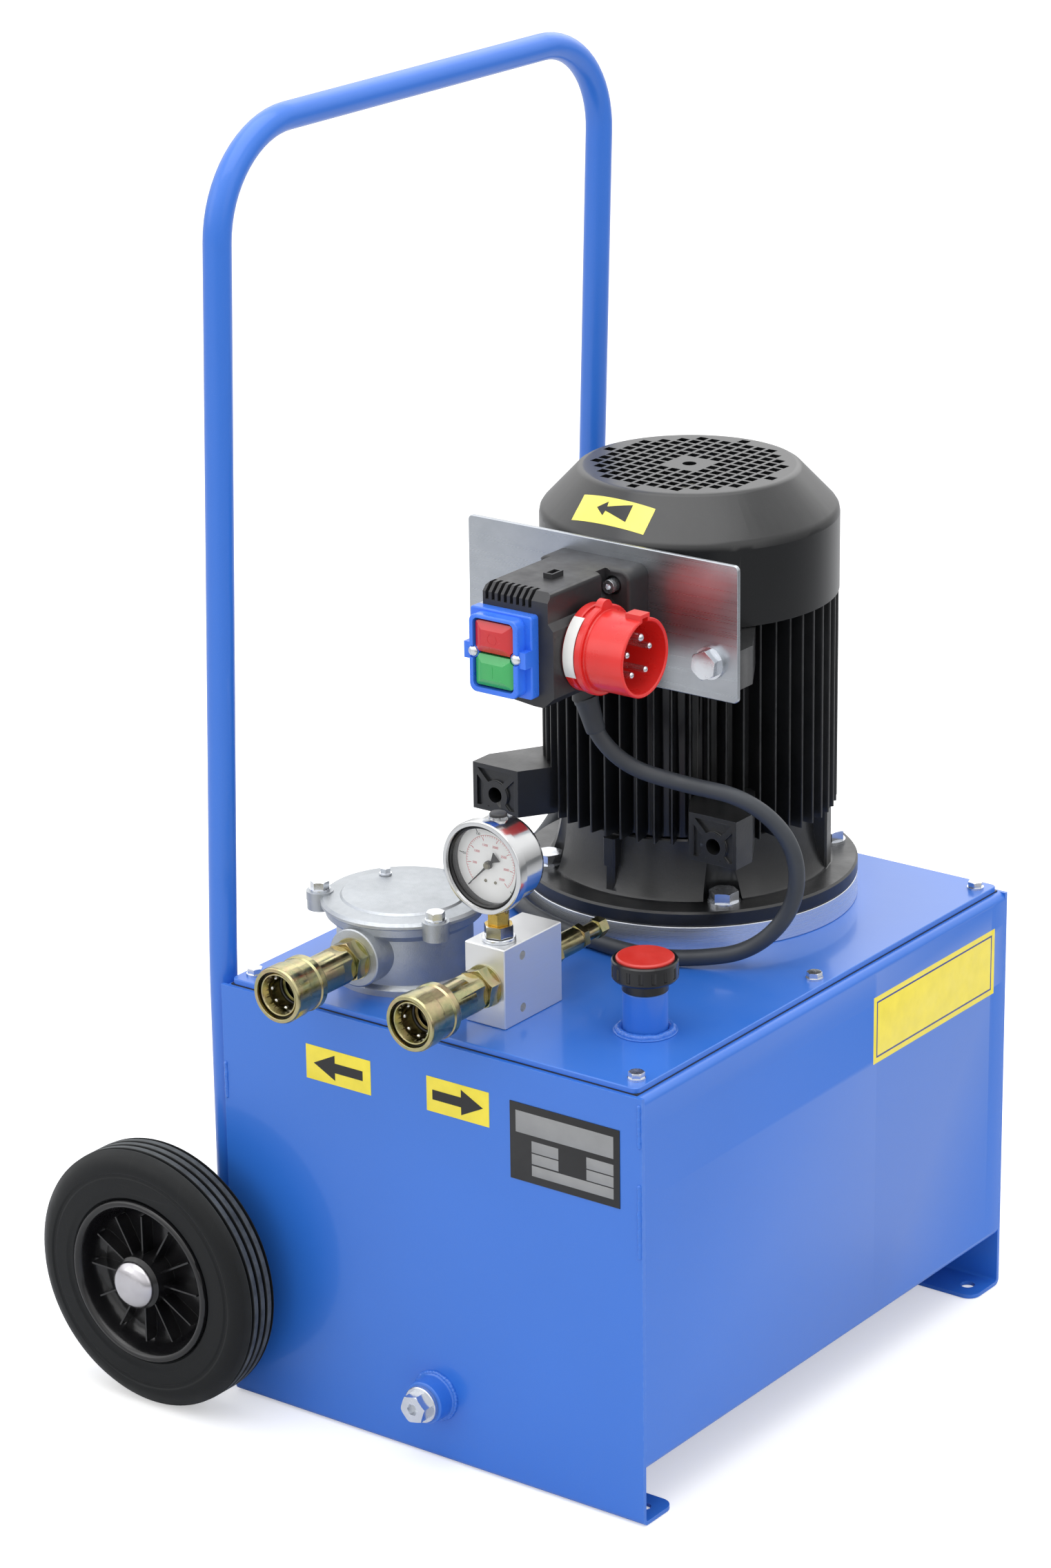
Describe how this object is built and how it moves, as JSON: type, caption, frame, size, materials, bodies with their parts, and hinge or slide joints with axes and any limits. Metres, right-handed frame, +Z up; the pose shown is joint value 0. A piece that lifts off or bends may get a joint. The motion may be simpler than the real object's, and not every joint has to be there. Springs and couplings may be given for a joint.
{
  "type": "hydraulic power unit",
  "caption": "Electric hydraulic power unit: vertical motor, return filter, gauge and quick couplings on a folded steel tank with trolley wheels and a tube handle.",
  "frame": {"origin": "on the floor at the centre of the four foot holes", "axes": "+Z up, +X from the wheel end towards the plain end, -Y towards the couplings"},
  "size_m": [0.5064, 0.6208, 0.9469],
  "materials": {
    "blue_paint": "gloss",
    "black_paint": "satin",
    "zinc": "satin",
    "yellow_zinc": "satin",
    "cast_alloy": "cast",
    "machined_alloy": "satin",
    "cap_chrome": "polished",
    "tyre_rubber": "matte",
    "rim_plastic": "matte",
    "black_plastic": "satin",
    "red_plastic": "gloss",
    "blue_plastic": "gloss",
    "green_plastic": "gloss",
    "cable_rubber": "matte",
    "gauge_glass": "clear",
    "dial_white": "matte",
    "pointer_black": "matte",
    "bare_steel": "machined",
    "filter_paper": "matte"
  },
  "bodies": {
    "power_unit": {"tank_wrap": "blue_paint", "tank_front_panel": "blue_paint", "tank_back_panel": "blue_paint", "tank_lid": "blue_paint", "drain_boss": "blue_paint", "filler_neck": "blue_paint", "handle_tube": "blue_paint", "axle_brackets": "blue_paint", "axle": "blue_paint", "motor_flange": "black_paint", "motor_frame": "black_paint", "motor_cowl": "black_paint", "terminal_box": "black_paint", "lid_bolts": "zinc", "drain_plug": "zinc", "filter_screws": "zinc", "motor_bolts": "zinc", "starter_plate": "zinc", "gauge_case": "zinc", "starter_screws": "zinc", "inlet_pins": "zinc", "coupler_nipples": "yellow_zinc", "relief_valve": "yellow_zinc", "return_coupler_body": "yellow_zinc", "pressure_coupler_body": "yellow_zinc", "filter_housing": "cast_alloy", "filter_cover": "cast_alloy", "manifold_block": "machined_alloy", "adapter_ring": "machined_alloy", "axle_caps": "cap_chrome", "starter_case": "black_plastic", "inlet_shroud": "red_plastic", "starter_hood": "blue_plastic", "cable": "cable_rubber", "lid_gasket": "cable_rubber", "gauge_lens": "gauge_glass", "gauge_dial": "dial_white", "motor_stator": "bare_steel", "motor_bearings": "bare_steel", "pump_body": "bare_steel", "suction_strainer": "bare_steel", "filter_element": "filter_paper"},
    "front_wheel": {"front_wheel_tyre": "tyre_rubber", "front_wheel_rim": "rim_plastic"},
    "back_wheel": {"back_wheel_tyre": "tyre_rubber", "back_wheel_rim": "rim_plastic"},
    "filler_insert": {"filler_cap_insert": "red_plastic"},
    "filler_cap": {"filler_cap": "black_plastic"},
    "return_sleeve": {"return_coupler_sleeve": "yellow_zinc"},
    "return_poppet": {"return_coupler_poppet": "bare_steel"},
    "pressure_sleeve": {"pressure_coupler_sleeve": "yellow_zinc"},
    "pressure_poppet": {"pressure_coupler_poppet": "bare_steel"},
    "red_button": {"red_button": "red_plastic"},
    "green_button": {"green_button": "green_plastic"},
    "gauge_needle": {"gauge_pointer": "pointer_black"},
    "motor_shaft": {"motor_rotor": "bare_steel", "motor_fan": "black_plastic", "shaft_coupling": "bare_steel", "pump_drive_gear": "bare_steel"},
    "driven_gear": {"pump_driven_gear": "bare_steel"}
  },
  "joints": [
    {"name": "front_wheel_spin", "type": "hinge", "parent": "power_unit", "child": "front_wheel", "pos_m": [-0.2227, -0.276, 0.1], "axis": [0, 1, 0], "continuous": true},
    {"name": "back_wheel_spin", "type": "hinge", "parent": "power_unit", "child": "back_wheel", "pos_m": [-0.2227, 0.276, 0.1], "axis": [0, 1, 0], "continuous": true},
    {"name": "filler_cap_lift", "type": "slide", "parent": "power_unit", "child": "filler_insert", "axis": [0, 0, 1], "range_m": [0, 0.0101]},
    {"name": "filler_cap_turn", "type": "hinge", "parent": "filler_insert", "child": "filler_cap", "pos_m": [0.1225, -0.146, 0.36], "axis": [0, 0, 1], "range_deg": [0, 1800]},
    {"name": "return_sleeve_slide", "type": "slide", "parent": "power_unit", "child": "return_sleeve", "axis": [0, 1, 0], "range_m": [0, 0.006], "stiffness_N_per_m": 1500, "springref_m": -0.004},
    {"name": "return_poppet_slide", "type": "slide", "parent": "power_unit", "child": "return_poppet", "axis": [0, 1, 0], "range_m": [0, 0.006], "stiffness_N_per_m": 600, "springref_m": -0.004},
    {"name": "pressure_sleeve_slide", "type": "slide", "parent": "power_unit", "child": "pressure_sleeve", "axis": [0, 1, 0], "range_m": [0, 0.006], "stiffness_N_per_m": 1500, "springref_m": -0.004},
    {"name": "pressure_poppet_slide", "type": "slide", "parent": "power_unit", "child": "pressure_poppet", "axis": [0, 1, 0], "range_m": [0, 0.006], "stiffness_N_per_m": 600, "springref_m": -0.004},
    {"name": "red_button_press", "type": "slide", "parent": "power_unit", "child": "red_button", "axis": [0, 1, 0], "range_m": [0, 0.004], "stiffness_N_per_m": 1200, "springref_m": -0.002},
    {"name": "green_button_press", "type": "slide", "parent": "power_unit", "child": "green_button", "axis": [0, 1, 0], "range_m": [0, 0.004], "stiffness_N_per_m": 1200, "springref_m": -0.002},
    {"name": "gauge_needle_turn", "type": "hinge", "parent": "power_unit", "child": "gauge_needle", "pos_m": [0.027, -0.199, 0.446], "axis": [0, 1, 0], "range_deg": [0, 270], "stiffness_Nm_per_rad": 0.002, "springref_deg": -17.19},
    {"name": "motor_spin", "type": "hinge", "parent": "power_unit", "child": "motor_shaft", "pos_m": [-0.008, 0.0984, 0.5], "axis": [0, 0, 1], "continuous": true},
    {"name": "driven_gear_spin", "type": "hinge", "parent": "power_unit", "child": "driven_gear", "pos_m": [0.028, 0.0984, 0.215], "axis": [0, 0, 1], "continuous": true}
  ],
  "couplings": [
    {"joint": "filler_cap_lift", "follows": "filler_cap_turn", "m_per_rad": 0.00031831},
    {"joint": "driven_gear_spin", "follows": "motor_spin", "ratio": -1}
  ]
}
